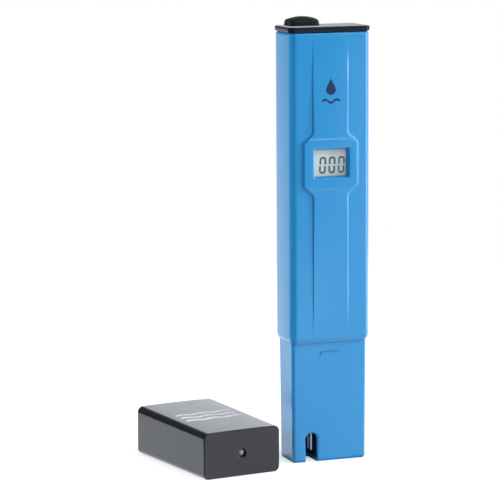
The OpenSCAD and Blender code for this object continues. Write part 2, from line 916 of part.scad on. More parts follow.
body_shell();
display_window();
lcd_panel();
display_frame();
upper_contact_rubber();
lower_contact_rubber();
probe_housing();
probe_seal();
electrode_holder();
front_electrode();
rear_electrode();
electrode_solder();
thermistor();
circuit_board();
driver_chip();
chip_resistors();
trimmer_body();
trimmer_rotor();
left_board_spring();
right_board_spring();
battery_drawer();
drawer_seal();
button_cell_1();
button_cell_2();
button_cell_3();
button_cell_4();
positive_contact();
negative_contact();
switch_terminal();
switch_knob();
switch_carrier();
switch_wiper();
protective_cap();
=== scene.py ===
import json
import math

import bmesh
import bpy
from mathutils import Matrix, Vector


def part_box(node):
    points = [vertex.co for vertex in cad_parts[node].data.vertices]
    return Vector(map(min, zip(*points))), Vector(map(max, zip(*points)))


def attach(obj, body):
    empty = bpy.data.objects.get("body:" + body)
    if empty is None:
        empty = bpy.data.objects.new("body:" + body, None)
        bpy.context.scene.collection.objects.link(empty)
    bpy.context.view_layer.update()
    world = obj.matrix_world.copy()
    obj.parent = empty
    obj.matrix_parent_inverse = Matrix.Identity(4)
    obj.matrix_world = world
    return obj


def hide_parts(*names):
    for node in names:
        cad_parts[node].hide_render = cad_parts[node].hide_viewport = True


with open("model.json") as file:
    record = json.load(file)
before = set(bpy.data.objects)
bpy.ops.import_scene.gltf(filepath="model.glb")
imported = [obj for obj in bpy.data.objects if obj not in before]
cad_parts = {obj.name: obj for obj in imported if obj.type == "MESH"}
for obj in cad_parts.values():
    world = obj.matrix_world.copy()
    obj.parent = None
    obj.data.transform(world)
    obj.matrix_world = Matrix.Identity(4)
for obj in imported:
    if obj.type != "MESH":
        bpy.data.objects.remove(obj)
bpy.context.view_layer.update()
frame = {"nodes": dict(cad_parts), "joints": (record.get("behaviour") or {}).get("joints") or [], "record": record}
scene = bpy.context.scene
scene.view_settings.view_transform = "Standard"

near = 0.00002      # places closer than this count as the same
past = 0.001        # how far a cutter reaches past the face that it cuts

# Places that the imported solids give
shellLow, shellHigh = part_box("body_shell")
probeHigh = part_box("probe_housing")[1]
drawerLow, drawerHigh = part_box("battery_drawer")
knobLow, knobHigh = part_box("switch_knob")
carrierLow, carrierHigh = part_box("switch_carrier")
lensLow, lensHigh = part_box("display_window")
glassLow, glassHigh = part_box("lcd_panel")
cellLow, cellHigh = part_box("button_cell_1")
boardLow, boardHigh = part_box("circuit_board")
rotorLow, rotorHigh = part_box("trimmer_rotor")
frontY = -shellHigh.y
faceY = shellLow.y
displayZ = (lensLow.z + lensHigh.z) / 2
joints = {joint["name"]: joint for joint in frame["joints"]}
print("frame loaded:", len(frame["nodes"]), "nodes")


def offset(x=0, y=0, z=0):
    return Vector((x, y, z))


def activate(piece):
    bpy.ops.object.select_all(action="DESELECT")
    piece.select_set(True)
    bpy.context.view_layer.objects.active = piece


def openEdit(piece):
    activate(piece)
    bpy.ops.object.mode_set(mode="EDIT")


def closeEdit():
    bpy.ops.object.mode_set(mode="OBJECT")


# Selects what passes the test, as verts, edges or faces
def choose(piece, kind, test):
    bpy.ops.mesh.select_mode(type=kind)
    bpy.ops.mesh.select_all(action="DESELECT")
    mesh = bmesh.from_edit_mesh(piece.data)
    for part in {"VERT": mesh.verts, "EDGE": mesh.edges, "FACE": mesh.faces}[kind]:
        if test(part):
            part.select_set(True)
    mesh.select_flush_mode()
    bmesh.update_edit_mesh(piece.data)


def runsAlong(edge, axis):
    way = (edge.verts[1].co - edge.verts[0].co).normalized()
    return abs(way[axis]) > 0.99


def liesAt(edge, axis, level):
    return all(abs(vert.co[axis] - level) < near for vert in edge.verts)


# Cuts the open piece straight across at each level along one axis
def cutAcross(axis, levels):
    for level in levels:
        place, way = offset(), offset()
        place[axis], way[axis] = level, 1
        bpy.ops.mesh.select_all(action="SELECT")
        bpy.ops.mesh.bisect(plane_co=place, plane_no=way)


# Names the primitive that was just added, and gives it its size
def takeNew(name, scale=(1, 1, 1)):
    piece = bpy.context.object
    piece.name = name
    piece.scale = scale
    bpy.ops.object.transform_apply()
    return piece


def addBlock(name, low, high):
    low, high = Vector(low), Vector(high)
    bpy.ops.object.select_all(action="DESELECT")
    bpy.ops.mesh.primitive_cube_add(size=1, location=(low + high) / 2)
    return takeNew(name, high - low)


# Block whose four edges along one axis are round
def roundedBlock(name, low, high, corner, axis=2, steps=6):
    piece = addBlock(name, low, high)
    openEdit(piece)
    choose(piece, "EDGE", lambda edge: runsAlong(edge, axis))
    bpy.ops.mesh.bevel(offset=corner, segments=steps, affect="EDGES")
    closeEdit()
    return piece


def addRod(name, centre, axis, radius, length, sides=64):
    turn = ((0, math.pi / 2, 0), (math.pi / 2, 0, 0), (0, 0, 0))[axis]
    bpy.ops.object.select_all(action="DESELECT")
    bpy.ops.mesh.primitive_cylinder_add(
        vertices=sides, radius=radius, depth=length, location=centre, rotation=turn)
    return takeNew(name)


# Rounds the sharp edges that lie at one level
def roundRim(piece, axis, level, radius, steps=3):
    openEdit(piece)
    choose(piece, "EDGE", lambda edge: liesAt(edge, axis, level) and edge.calc_face_angle(0) > 0.3)
    bpy.ops.mesh.bevel(offset=radius, segments=steps, affect="EDGES")
    closeEdit()


# Groove round an upright block, for a seal ring
def cutGroove(block, low, height, depth):
    openEdit(block)
    cutAcross(2, (low, low + height))
    middle = low + height / 2
    choose(block, "FACE", lambda face: abs(face.calc_center_median().z - middle) < height / 4)
    bpy.ops.mesh.extrude_region_shrink_fatten(TRANSFORM_OT_shrink_fatten={"value": -depth})
    closeEdit()


def applyModifier(piece, kind, **settings):
    activate(piece)
    step = piece.modifiers.new("step", kind)
    for name, value in settings.items():
        setattr(step, name, value)
    bpy.ops.object.modifier_apply(modifier=step.name)


def combine(piece, other, operation):
    applyModifier(piece, "BOOLEAN", operation=operation, solver="EXACT", object=other)
    bpy.data.objects.remove(other)


def thicken(piece, depth):
    applyModifier(piece, "SOLIDIFY", thickness=depth, offset=0)


# Smooth shading that keeps flat faces flat, then finish, body and solids that it stands for
def finishPiece(piece, body, material, nodes=(), angle=35):
    activate(piece)
    bpy.ops.object.shade_smooth_by_angle(angle=math.radians(angle))
    applyModifier(piece, "WEIGHTED_NORMAL", keep_sharp=True)
    piece.data.materials.clear()
    piece.data.materials.append(material)
    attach(piece, body)
    if nodes:
        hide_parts(*nodes)
    print("made", piece.name, "with", len(piece.data.polygons), "faces")


def addNode(tree, kind, inputs=None, **settings):
    node = tree.nodes.new("ShaderNode" + kind)
    for name, value in settings.items():
        setattr(node, name, value)
    for name, value in (inputs or {}).items():
        if isinstance(value, bpy.types.NodeSocket):
            tree.links.new(value, node.inputs[name])
        else:
            node.inputs[name].default_value = value
    return node


def addRamp(tree, factor, stops):
    ramp = addNode(tree, "ValToRGB", {"Fac": factor})
    points = ramp.color_ramp.elements
    while len(points) < len(stops):
        points.new(0.5)
    for point, (place, colour) in zip(points, stops):
        point.position = place
        point.color = (*colour, 1)
    return ramp.outputs["Color"]


def addRange(tree, value, low, high, outLow, outHigh):
    return addNode(tree, "MapRange", {
        "Value": value, "From Min": low, "From Max": high, "To Min": outLow, "To Max": outHigh,
    }).outputs["Result"]


def addMath(tree, operation, first, second=0):
    return addNode(tree, "Math", {0: first, 1: second}, operation=operation).outputs["Value"]


def newGroup(name, inputs, outputs):
    group = bpy.data.node_groups.new(name, "ShaderNodeTree")
    for label, value in inputs:
        socket = group.interface.new_socket(label, in_out="INPUT", socket_type="NodeSocketFloat")
        socket.default_value = value
    for label in outputs:
        group.interface.new_socket(label, in_out="OUTPUT", socket_type="NodeSocketFloat")
    return group, group.nodes.new("NodeGroupInput"), group.nodes.new("NodeGroupOutput")


# Surface of a moulded piece: fine grain, slow clouds in the colour, and faint rubbed streaks
def makeMouldGrain():
    group, given, result = newGroup(
        "mouldGrain", (("Grain Scale", 1400), ("Streak Scale", 60)), ("Grain", "Cloud", "Streak"))
    place = addNode(group, "TexCoord").outputs["Object"]
    grain = addNode(group, "TexNoise", {
        "Vector": place, "Scale": given.outputs["Grain Scale"], "Detail": 3})
    cloud = addNode(group, "TexNoise", {"Vector": place, "Scale": 38, "Detail": 2})
    stretched = addNode(group, "Mapping", {
        "Vector": place, "Rotation": (0.2, 0.5, 0.3), "Scale": (9, 9, 0.9)})
    streak = addNode(group, "TexNoise", {
        "Vector": stretched.outputs["Vector"], "Scale": given.outputs["Streak Scale"], "Detail": 4})
    group.links.new(grain.outputs["Fac"], result.inputs["Grain"])
    group.links.new(cloud.outputs["Fac"], result.inputs["Cloud"])
    group.links.new(addRange(group, streak.outputs["Fac"], 0.58, 0.72, 0, 1), result.inputs["Streak"])
    return group


# Drawn or stamped metal: fine lines along one way, and a slow tarnish
def makeMetalGrain():
    group, given, result = newGroup("metalGrain", (("Line Scale", 500),), ("Line", "Tarnish"))
    place = addNode(group, "TexCoord").outputs["Object"]
    stretched = addNode(group, "Mapping", {"Vector": place, "Scale": (6, 6, 0.4)})
    line = addNode(group, "TexNoise", {
        "Vector": stretched.outputs["Vector"], "Scale": given.outputs["Line Scale"], "Detail": 3})
    tarnish = addNode(group, "TexNoise", {"Vector": place, "Scale": 260, "Detail": 4})
    group.links.new(line.outputs["Fac"], result.inputs["Line"])
    group.links.new(tarnish.outputs["Fac"], result.inputs["Tarnish"])
    return group


mouldGrain = makeMouldGrain()
metalGrain = makeMetalGrain()


def newMaterial(name):
    material = bpy.data.materials.new(name)
    material.use_nodes = True
    tree = material.node_tree
    return material, tree, tree.nodes["Principled BSDF"]


def addGroup(tree, group, **values):
    node = tree.nodes.new("ShaderNodeGroup")
    node.node_tree = group
    for name, value in values.items():
        node.inputs[name].default_value = value
    return node


def linkLook(tree, shader, colour, gloss):
    tree.links.new(colour, shader.inputs["Base Color"])
    tree.links.new(gloss, shader.inputs["Roughness"])


def addBump(tree, shader, height, strength, depth):
    bump = addNode(tree, "Bump", {"Height": height, "Strength": strength, "Distance": depth})
    tree.links.new(bump.outputs["Normal"], shader.inputs["Normal"])


# Moulded plastic, rubber or resin
def moulded(name, dark, light, rough, rubbed, grainScale=4200, grainDepth=0.06, ior=1.5, coat=0):
    material, tree, shader = newMaterial(name)
    grain = addGroup(tree, mouldGrain, **{"Grain Scale": grainScale})
    colour = addRamp(tree, grain.outputs["Cloud"], ((0.3, dark), (0.7, light)))
    linkLook(tree, shader, colour, addRange(tree, grain.outputs["Streak"], 0, 1, rough, rubbed))
    addBump(tree, shader, grain.outputs["Grain"], grainDepth, 0.00005)
    shader.inputs["IOR"].default_value = ior
    shader.inputs["Coat Weight"].default_value = coat
    shader.inputs["Coat Roughness"].default_value = 0.12
    return material


def metal(name, dark, light, rough, lineScale=500):
    material, tree, shader = newMaterial(name)
    grain = addGroup(tree, metalGrain, **{"Line Scale": lineScale})
    colour = addRamp(tree, grain.outputs["Tarnish"], ((0.3, dark), (0.6, light)))
    linkLook(tree, shader, colour, addRange(tree, grain.outputs["Line"], 0.3, 0.7, rough, rough + 0.15))
    addBump(tree, shader, grain.outputs["Line"], 0.1, 0.00003)
    shader.inputs["Metallic"].default_value = 1
    return material


# Clear window with a few faint smears
def clearPlastic(name):
    material, tree, shader = newMaterial(name)
    grain = addGroup(tree, mouldGrain)
    colour = addRamp(
        tree, grain.outputs["Cloud"], ((0.3, (0.95, 0.97, 0.97)), (0.7, (0.98, 0.99, 0.99))))
    linkLook(tree, shader, colour, addRange(tree, grain.outputs["Streak"], 0, 1, 0.015, 0.05))
    # Lets light through to the display behind it
    path = addNode(tree, "LightPath")
    lit = addMath(tree, "MAXIMUM", path.outputs["Is Shadow Ray"], path.outputs["Is Diffuse Ray"])
    tree.links.new(addMath(tree, "SUBTRACT", 1, lit), shader.inputs["Alpha"])
    shader.inputs["Transmission Weight"].default_value = 1
    shader.inputs["IOR"].default_value = 1.49
    return material


# Grey-green display glass with painted shade: darker towards its lower right corner, where the window's walls
# would shade it
def displayGlass(name):
    material, tree, shader = newMaterial(name)
    grain = addGroup(tree, mouldGrain, **{"Grain Scale": 3000})
    place = addNode(tree, "TexCoord").outputs["Object"]
    parts = addNode(tree, "SeparateXYZ", {"Vector": place})
    # Painted shade: the colour darkens downwards and to the right
    height = addRange(tree, parts.outputs["Z"], glassLow.z, glassHigh.z, 0, 0.4)
    across = addRange(tree, parts.outputs["X"], glassLow.x, glassHigh.x, 0.5, 0)
    shade = addMath(tree, "ADD", height, across)
    mixed = addMath(tree, "ADD", shade, addRange(tree, grain.outputs["Grain"], 0, 1, 0, 0.1))
    colour = addRamp(tree, mixed, ((0.1, (0.46, 0.51, 0.53)), (0.8, (0.68, 0.80, 0.81))))
    linkLook(tree, shader, colour, addRange(tree, grain.outputs["Cloud"], 0, 1, 0.25, 0.35))
    return material


# Solder mask with paler copper tracks under it
def boardMask(name):
    material, tree, shader = newMaterial(name)
    grain = addGroup(tree, mouldGrain)
    place = addNode(tree, "TexCoord").outputs["Object"]
    tracks = addNode(tree, "TexBrick", {
        "Vector": place, "Scale": 220, "Mortar Size": 0.08,
        "Color1": (0, 0, 0, 1), "Color2": (0, 0, 0, 1), "Mortar": (1, 1, 1, 1)})
    colour = addRamp(tree, tracks.outputs["Fac"], ((0, (0.015, 0.17, 0.06)), (1, (0.05, 0.30, 0.11))))
    linkLook(tree, shader, colour, addRange(tree, grain.outputs["Cloud"], 0, 1, 0.3, 0.45))
    addBump(tree, shader, tracks.outputs["Fac"], 0.3, 0.00004)
    return material


finishes = {
    "blue_plastic": moulded(
        "satinBlue", (0.0105, 0.272, 0.635), (0.0125, 0.284, 0.655), 0.28, 0.288, ior=1.44, coat=0.2),
    "black_plastic": moulded(
        "glossBlack", (0.0125, 0.0138, 0.0215), (0.0155, 0.0168, 0.026), 0.16, 0.17, ior=1.42),
    "clear_window": clearPlastic("clearWindow"),
    "display_glass": displayGlass("greyDisplay"),
    "contact_rubber": moulded("bandedRubber", (0.07, 0.07, 0.08), (0.11, 0.11, 0.12), 0.7, 0.8),
    "seal_rubber": moulded("sealRubber", (0.010, 0.010, 0.012), (0.016, 0.016, 0.018), 0.5, 0.65),
    "electrode_steel": metal("drawnSteel", (0.20, 0.21, 0.26), (0.28, 0.29, 0.35), 0.30),
    "solder": metal("dullTin", (0.42, 0.43, 0.44), (0.56, 0.57, 0.58), 0.4, 200),
    "thermistor_resin": moulded("dippedResin", (0.045, 0.026, 0.018), (0.06, 0.036, 0.024), 0.3, 0.4),
    "board_green": boardMask("boardMask"),
    "chip_black": moulded(
        "epoxyBlack", (0.012, 0.012, 0.014), (0.020, 0.020, 0.022), 0.55, 0.65, 2500, 0.3),
    "trimmer_blue": moulded("nylonBlue", (0.016, 0.085, 0.36), (0.026, 0.11, 0.43), 0.35, 0.45),
    "brass": metal("stampedBrass", (0.48, 0.31, 0.09), (0.66, 0.45, 0.15), 0.25),
    "cell_steel": metal("nickelPlate", (0.52, 0.52, 0.54), (0.64, 0.64, 0.66), 0.2, 300),
    "carrier_white": moulded("acetalWhite", (0.64, 0.62, 0.56), (0.74, 0.72, 0.66), 0.4, 0.5),
}
# Finishes that differ from the solids' own
plateBlack = moulded("plateBlack", (0.0075, 0.0120, 0.022), (0.0095, 0.0145, 0.027), 0.20, 0.22, ior=1.2)
matteBlack = moulded("matteBlack", (0.007, 0.008, 0.011), (0.009, 0.010, 0.014), 0.52, 0.58, ior=1.27)
# Pale grey for the gate stub: a painted highlight on its small dome
paleGateHighlight = moulded("paleGateHighlight", (0.24, 0.24, 0.27), (0.36, 0.36, 0.40), 0.32, 0.42, 6000, 0.3)
# Dark holder whose navy tint is painted shade, standing in for blue plastic in the slot's shadow
holderNavyShade = moulded("holderNavyShade", (0.003, 0.030, 0.080), (0.004, 0.036, 0.095), 0.4, 0.5, ior=1.38)
segmentInk = moulded("segmentInk", (0.030, 0.045, 0.050), (0.045, 0.062, 0.068), 0.35, 0.4, 3000, 0.05)
bluePrint = moulded(
    "bluePrint", (0.001, 0.022, 0.085), (0.002, 0.030, 0.105), 0.35, 0.4, 2500, 0.05, 1.35)
palePrint = moulded("palePrint", (0.80, 0.82, 0.85), (0.92, 0.93, 0.95), 0.45, 0.55, 2500, 0.1)
for part in frame["record"]["subparts"]:
    node = frame["nodes"][part["node"]]
    node.data.materials.clear()
    node.data.materials.append(finishes[part["material_slot"]])
# The holder is dark, with a navy tint of painted shade
frame["nodes"]["electrode_holder"].data.materials[0] = holderNavyShade
print("finishes ready for", len(finishes), "material slots")

# Body shell
shell = {
    "corner": 0.0026,       # upright corners
    "wall": 0.0018,
    "lipHeight": 0.002,     # bevel round the lower end
    "lipIn": 0.0009,
    "lipRound": 0.0006,
    "rim": 0.0004,          # rounding of the lower end and of the upper one
    "topRim": 0.0010,
    "bulge": 0.00022,       # the two sides are a little rounded
    "bulgeCuts": 5,         # on each side of the middle
    "insideCorner": 0.0008,
    "seatGap": 0.0001,      # round the window and the display glass
    "seatDeep": 0.003,
    "railHold": 0.0007,     # guide rails of the board
    "railThick": 0.001,
    "railGap": 0.0001,
    "railLow": 0.0586,
    "railRound": 0.0002,
    "accessRadius": 0.0018,     # hole over the trimmer
    "accessFlare": 0.0004,
    "accessDepth": 0.0004,      # of the flare
}
strip = {
    "off": -0.00025,        # the strip stands a little to the left
    "width": 0.0152,
    "foot": 0.0502,         # levels at which the strip fades out
    "head": 0.1662,
    "rise": 0.00085,        # beside the display frame
    "fade": 0.8,
    "frameWidth": 0.0238,
    "side": 0.0172,         # upright sides of the frame
    "shoulder": 0.0035,
    "face": 0.0181,
    "ramp": 0.0012,
    "outlineEase": 0.0008,  # rounding of the outline and of the ramps
    "rampEase": 0.00012,
    "bendReach": 0.0012,    # close cuts reach this far past the shoulders
    "bendCuts": 46,
    "endCuts": 12,
    "sunk": 0.0004,
    "dip": 0.00001,         # the strip's ends dip just under the shell's front
    "walls": ((0.00010, 0.10), (0.00017, 0.45), (0.00017, 0.84), (0.00015, 0.97), (0.00012, 1.0)),
    "rightWall": 1.7,       # the right wall is wider than the left one
}
frameRise = frontY - faceY
opening = {
    "width": 0.0134,        # at the window
    "height": 0.0103,
    "lift": 0.0005,         # above the frame's middle
    "depth": 0.0020,
    "corner": 0.0006,
    # Sloping sides with a rounded edge: how much wider the opening is at each depth below the face
    "flare": (
        (0, 0.00113), (0.00003, 0.00101), (0.00010, 0.00089), (0.00020, 0.00080), (0.00032, 0.00074),
        (0.0019, 0)),
}
openHalf = Vector((opening["width"] / 2, 0, opening["height"] / 2))
openMiddle = Vector((strip["off"], 0, displayZ + opening["lift"]))


# From 0 at start to 1 at end, with rounded corners
def eased(reach, start, end, soft):
    spots = [reach + soft * share for share in (-1, -0.75, -0.5, -0.25, 0, 0.25, 0.5, 0.75, 1)]
    return sum(min(max((spot - start) / (end - start), 0), 1) for spot in spots) / len(spots)


def stripHalfWidth(level):
    side = strip["side"] / 2
    narrow = eased(abs(level - displayZ), side, side + strip["shoulder"], strip["outlineEase"])
    return (strip["frameWidth"] * (1 - narrow) + strip["width"] * narrow) / 2


def stripRise(level):
    reach = abs(level - displayZ)
    end = strip["head"] - displayZ if level > displayZ else displayZ - strip["foot"]
    begin = strip["face"] / 2 + strip["ramp"]
    fade = max(min((end - reach) / (end - begin), 1), 0) ** strip["fade"]
    lower = eased(reach, strip["face"] / 2, begin, strip["rampEase"]) ** 2
    return frameRise * (1 - lower) + (strip["rise"] * fade - strip["dip"]) * lower


# Raised strip that widens into the display frame: a plane cut at many levels, widened, inset and raised
def makeStrip():
    bpy.ops.object.select_all(action="DESELECT")
    middle = (strip["foot"] + strip["head"]) / 2
    bpy.ops.mesh.primitive_plane_add(
        size=1, location=(0, frontY + strip["sunk"], middle), rotation=(math.pi / 2, 0, 0))
    piece = takeNew("raisedStrip", (strip["width"], strip["head"] - strip["foot"], 1))
    openEdit(piece)
    first = strip["side"] / 2 - strip["bendReach"]
    last = strip["side"] / 2 + strip["shoulder"] + strip["bendReach"]
    count, ends = strip["bendCuts"], strip["endCuts"]
    reaches = [first + (last - first) * i / count for i in range(count + 1)]
    levels = [displayZ + way * reach for way in (-1, 1) for reach in reaches]
    for end, way in ((strip["foot"], -1), (strip["head"], 1)):
        start = displayZ + way * last
        levels += [start + (end - start) * i / ends for i in range(1, ends)]
    cutAcross(2, levels)
    for level in levels:
        choose(piece, "VERT", lambda vert: abs(vert.co.z - level) < near)
        wider = stripHalfWidth(level) * 2 / strip["width"]
        bpy.ops.transform.resize(value=(wider, 1, 1), center_override=(0, 0, level))
    bpy.ops.mesh.select_mode(type="FACE")
    bpy.ops.mesh.select_all(action="SELECT")
    bpy.ops.mesh.extrude_region_move(TRANSFORM_OT_translate={"value": (0, -strip["sunk"], 0)})
    raised = 0
    for inward, share in strip["walls"]:
        bpy.ops.mesh.inset(thickness=inward)
        bpy.ops.transform.translate(value=(0, (raised - share) * past, 0))
        raised = share
    # The walls stand a unit high so far: each point now takes the strip's own rise at its level,
    # and the walls keep their slope where the strip is low
    mesh = bmesh.from_edit_mesh(piece.data)
    for vert in mesh.verts:
        if vert.co.y < frontY - near / 10:
            rise = stripRise(vert.co.z)
            half = stripHalfWidth(vert.co.z)
            inward = (half - abs(vert.co.x)) * min(max(rise / strip["rise"], 0.7), 1.3)
            if vert.co.x > 0:
                inward *= strip["rightWall"]
            vert.co.x = math.copysign(half - inward, vert.co.x)
            vert.co.y = frontY - (frontY - vert.co.y) / past * rise
    bmesh.update_edit_mesh(piece.data)
    bpy.ops.mesh.select_all(action="SELECT")
    bpy.ops.transform.translate(value=(strip["off"], 0, 0))
    bpy.ops.mesh.normals_make_consistent(inside=False)
    closeEdit()
    return piece


# Cutter for the display opening, with its flare where it meets the frame's face
def makeOpening():
    piece = roundedBlock(
        "opening", openMiddle - openHalf + offset(y=faceY - past),
        openMiddle + openHalf + offset(y=glassLow.y), opening["corner"], 1, 3)
    openEdit(piece)
    cutAcross(1, [faceY + depth for depth, width in opening["flare"]])
    for depth, width in ((-past, opening["flare"][0][1]),) + opening["flare"]:
        choose(piece, "VERT", lambda vert: abs(vert.co.y - faceY - depth) < near / 10)
        bpy.ops.transform.resize(
            value=(1 + width / openHalf.x, 1, 1 + width / openHalf.z), center_override=openMiddle)
    closeEdit()
    return piece


def makeShell():
    low = Vector((shellLow.x, frontY, shellLow.z))
    piece = roundedBlock("bodyShell", low, shellHigh, shell["corner"], 2, 8)
    lipTop = shellLow.z + shell["lipHeight"]
    openEdit(piece)
    flat = shellHigh.y - shell["corner"]
    cuts = shell["bulgeCuts"]
    cutAcross(1, [flat * i / (cuts + 1) for i in range(-cuts, cuts + 1)])
    mesh = bmesh.from_edit_mesh(piece.data)
    for depth in sorted({round(vert.co.y, 6) for vert in mesh.verts}):
        choose(piece, "VERT", lambda vert: abs(vert.co.y - depth) < near / 10)
        inward = shell["bulge"] * min(abs(depth) / flat, 1) ** 2
        bpy.ops.transform.resize(value=(1 - inward / shellHigh.x, 1, 1), center_override=(0, 0, 0))
    cutAcross(2, (lipTop,))
    choose(piece, "VERT", lambda vert: vert.co.z < shellLow.z + near)
    shrink = (1 - shell["lipIn"] / shellHigh.x, 1 - shell["lipIn"] / shellHigh.y, 1)
    bpy.ops.transform.resize(value=shrink, center_override=(0, 0, shellLow.z))
    choose(piece, "EDGE", lambda edge: liesAt(edge, 2, lipTop))
    bpy.ops.mesh.bevel(offset=shell["lipRound"], segments=3, affect="EDGES")
    closeEdit()
    roundRim(piece, 2, shellLow.z, shell["rim"])
    roundRim(piece, 2, shellHigh.z, shell["topRim"], 4)
    combine(piece, makeStrip(), "UNION")
    wall = offset(shell["wall"], shell["wall"], -past)
    inside = roundedBlock("inside", low + wall, shellHigh - wall, shell["insideCorner"])
    combine(piece, inside, "DIFFERENCE")
    combine(piece, makeOpening(), "DIFFERENCE")
    seat = offset(x=shell["seatGap"], z=shell["seatGap"])
    deep = offset(y=shell["seatDeep"])
    sill = offset(y=faceY + opening["depth"] - lensLow.y)
    combine(piece, addBlock("lensSeat", lensLow - seat + sill, lensHigh + seat + deep), "DIFFERENCE")
    combine(piece, addBlock("glassSeat", glassLow - seat, glassHigh + seat + deep), "DIFFERENCE")
    makeRails(piece)
    makeAccessHole(piece)
    finishPiece(piece, "tester", finishes["blue_plastic"], ["body_shell"])


# Guide rails that hold the board's two edges
def makeRails(piece):
    gap, thick = shell["railGap"], shell["railThick"]
    for side in (-1, 1):
        inner, outer = side * (boardHigh.x - shell["railHold"]), side * (shellHigh.x - shell["wall"] / 2)
        for front in (boardLow.y - gap - thick, boardHigh.y + gap):
            low = (min(inner, outer), front, shell["railLow"])
            high = (max(inner, outer), front + thick, boardHigh.z)
            combine(piece, roundedBlock("rail", low, high, shell["railRound"], 2, 2), "UNION")


# Hole in the back through which the trimmer is turned, with a flared edge
def makeAccessHole(piece):
    radius, flare, depth = shell["accessRadius"], shell["accessFlare"], shell["accessDepth"]
    centre = (rotorLow + rotorHigh) / 2
    start, end = shellHigh.y - shell["wall"] - past, shellHigh.y - depth
    rod = addRod("access", (centre.x, (start + end) / 2, centre.z), 1, radius, end - start)
    openEdit(rod)
    choose(rod, "FACE", lambda face: face.normal.y > 0.9)
    for wider, further in ((flare / 4, depth / 2), (flare, depth / 2), (flare, past)):
        bpy.ops.mesh.extrude_region_move(TRANSFORM_OT_translate={"value": (0, further, 0)})
        grown = 1 + wider / radius
        bpy.ops.transform.resize(value=(grown, 1, grown), center_override=(centre.x, 0, centre.z))
    closeEdit()
    combine(piece, rod, "DIFFERENCE")


makeShell()

# Clear window: a plate behind the frame and a low step in the opening
lens = {
    "gap": 0.00006,
    "rise": 0.00008,
    "edge": 0.00005,
}


def makeLens():
    front = faceY + opening["depth"]
    piece = addBlock("windowLens", (lensLow.x, front, lensLow.z), lensHigh)
    half = openHalf - offset(x=lens["gap"], z=lens["gap"])
    top = front - lens["rise"]
    step = roundedBlock(
        "step", openMiddle - half + offset(y=top),
        openMiddle + half + offset(y=front + lens["rise"]), opening["corner"], 1, 3)
    roundRim(step, 1, top, lens["edge"], 2)
    combine(piece, step, "UNION")
    finishPiece(piece, "tester", finishes["clear_window"], ["display_window"], 10)


makeLens()

# Probe housing
probe = {
    "corner": 0.0014,
    "length": 0.0476,
    "width": 0.0315,
    "depth": 0.0147,
    "draft": 0.00035,       # each face draws in towards the end
    "endRound": 0.00125,
    "neckWidth": 0.0298,
    "neckDepth": 0.0144,
    "neckWall": 0.0016,
    "neckCorner": 0.0007,
    "hollowCorner": 0.0008,
    "floor": 0.0014,
    "slotX": -0.00755,
    "slotWidth": 0.0050,
    "slotTop": 0.0115,
    "slotBack": 0.00325,
    "slotRound": 0.0011,
    "ribWidth": 0.0077,
    "ribTop": 0.0439,
    "ribHeight": 0.0024,
    "ribRise": 0.00070,
    "ribSunk": 0.0006,
    "ribRound": 0.0002,
    "sealLow": 0.0526,
    "sealHeight": 0.0014,
    "sealDepth": 0.0008,
}


def makeSnapRib():
    front = -probe["depth"] / 2
    half = probe["ribWidth"] / 2
    piece = addBlock(
        "snapRib", (-half, front - probe["ribRise"], probe["ribTop"] - probe["ribHeight"]),
        (half, front + probe["ribSunk"], probe["ribTop"]))
    openEdit(piece)
    choose(piece, "VERT", lambda vert: vert.co.y < front and vert.co.z < probe["ribTop"] - near)
    bpy.ops.transform.translate(value=(0, probe["ribRise"] + probe["draft"] / 2, 0))
    # The top edge and the two sloping ones
    clear = front + probe["ribSunk"] / 2
    choose(piece, "EDGE", lambda edge: liesAt(edge, 1, front - probe["ribRise"]) or (
        abs(edge.verts[0].co.x - edge.verts[1].co.x) < near
        and all(vert.co.y < clear for vert in edge.verts)))
    bpy.ops.mesh.bevel(offset=probe["ribRound"], segments=3, affect="EDGES")
    closeEdit()
    return piece


# Arched slot, open at the front and at the end
def makeSlot():
    x, back, half = probe["slotX"], probe["slotBack"], probe["slotWidth"] / 2
    archZ = probe["slotTop"] - half
    front = -probe["depth"] / 2 - past
    piece = addBlock("slot", (x - half, front, -past), (x + half, back, archZ))
    combine(piece, addRod("arch", (x, (front + back) / 2, archZ), 1, half, back - front), "UNION")
    return piece


def makeProbe():
    low = Vector((-probe["width"] / 2, -probe["depth"] / 2, 0))
    high = Vector((probe["width"] / 2, probe["depth"] / 2, probe["length"]))
    piece = roundedBlock("probeHousing", low, high, probe["corner"], 2, 7)
    openEdit(piece)
    choose(piece, "VERT", lambda vert: vert.co.z < near)
    shrink = (1 - probe["draft"] / high.x, 1 - probe["draft"] / high.y, 1)
    bpy.ops.transform.resize(value=shrink, center_override=(0, 0, 0))
    closeEdit()
    roundRim(piece, 2, 0, probe["endRound"], 4)
    combine(piece, makeSnapRib(), "UNION")
    neck = offset(probe["neckWidth"] / 2, probe["neckDepth"] / 2)
    top = offset(z=probeHigh.z)
    block = roundedBlock("neck", -neck + offset(z=high.z - past), neck + top, probe["neckCorner"], 2, 3)
    cutGroove(block, probe["sealLow"], probe["sealHeight"], probe["sealDepth"])
    combine(piece, block, "UNION")
    hollow = neck - offset(probe["neckWall"], probe["neckWall"])
    inside = roundedBlock(
        "hollow", -hollow + offset(z=probe["floor"]), hollow + top + offset(z=past),
        probe["hollowCorner"], 2, 3)
    combine(piece, inside, "DIFFERENCE")
    combine(piece, makeSlot(), "DIFFERENCE")
    # Rounds the slot's edges on the front
    openEdit(piece)
    reach = probe["slotWidth"] / 2 + near
    front = probe["draft"] - probe["depth"] / 2 + near
    choose(piece, "EDGE", lambda edge: edge.calc_face_angle(0) > 0.6 and all(
        abs(vert.co.x - probe["slotX"]) < reach and vert.co.y < front
        and vert.co.z < probe["slotTop"] + near for vert in edge.verts))
    bpy.ops.mesh.bevel(offset=probe["slotRound"], segments=5, affect="EDGES")
    closeEdit()
    finishPiece(piece, "tester", finishes["blue_plastic"], ["probe_housing"])


makeProbe()

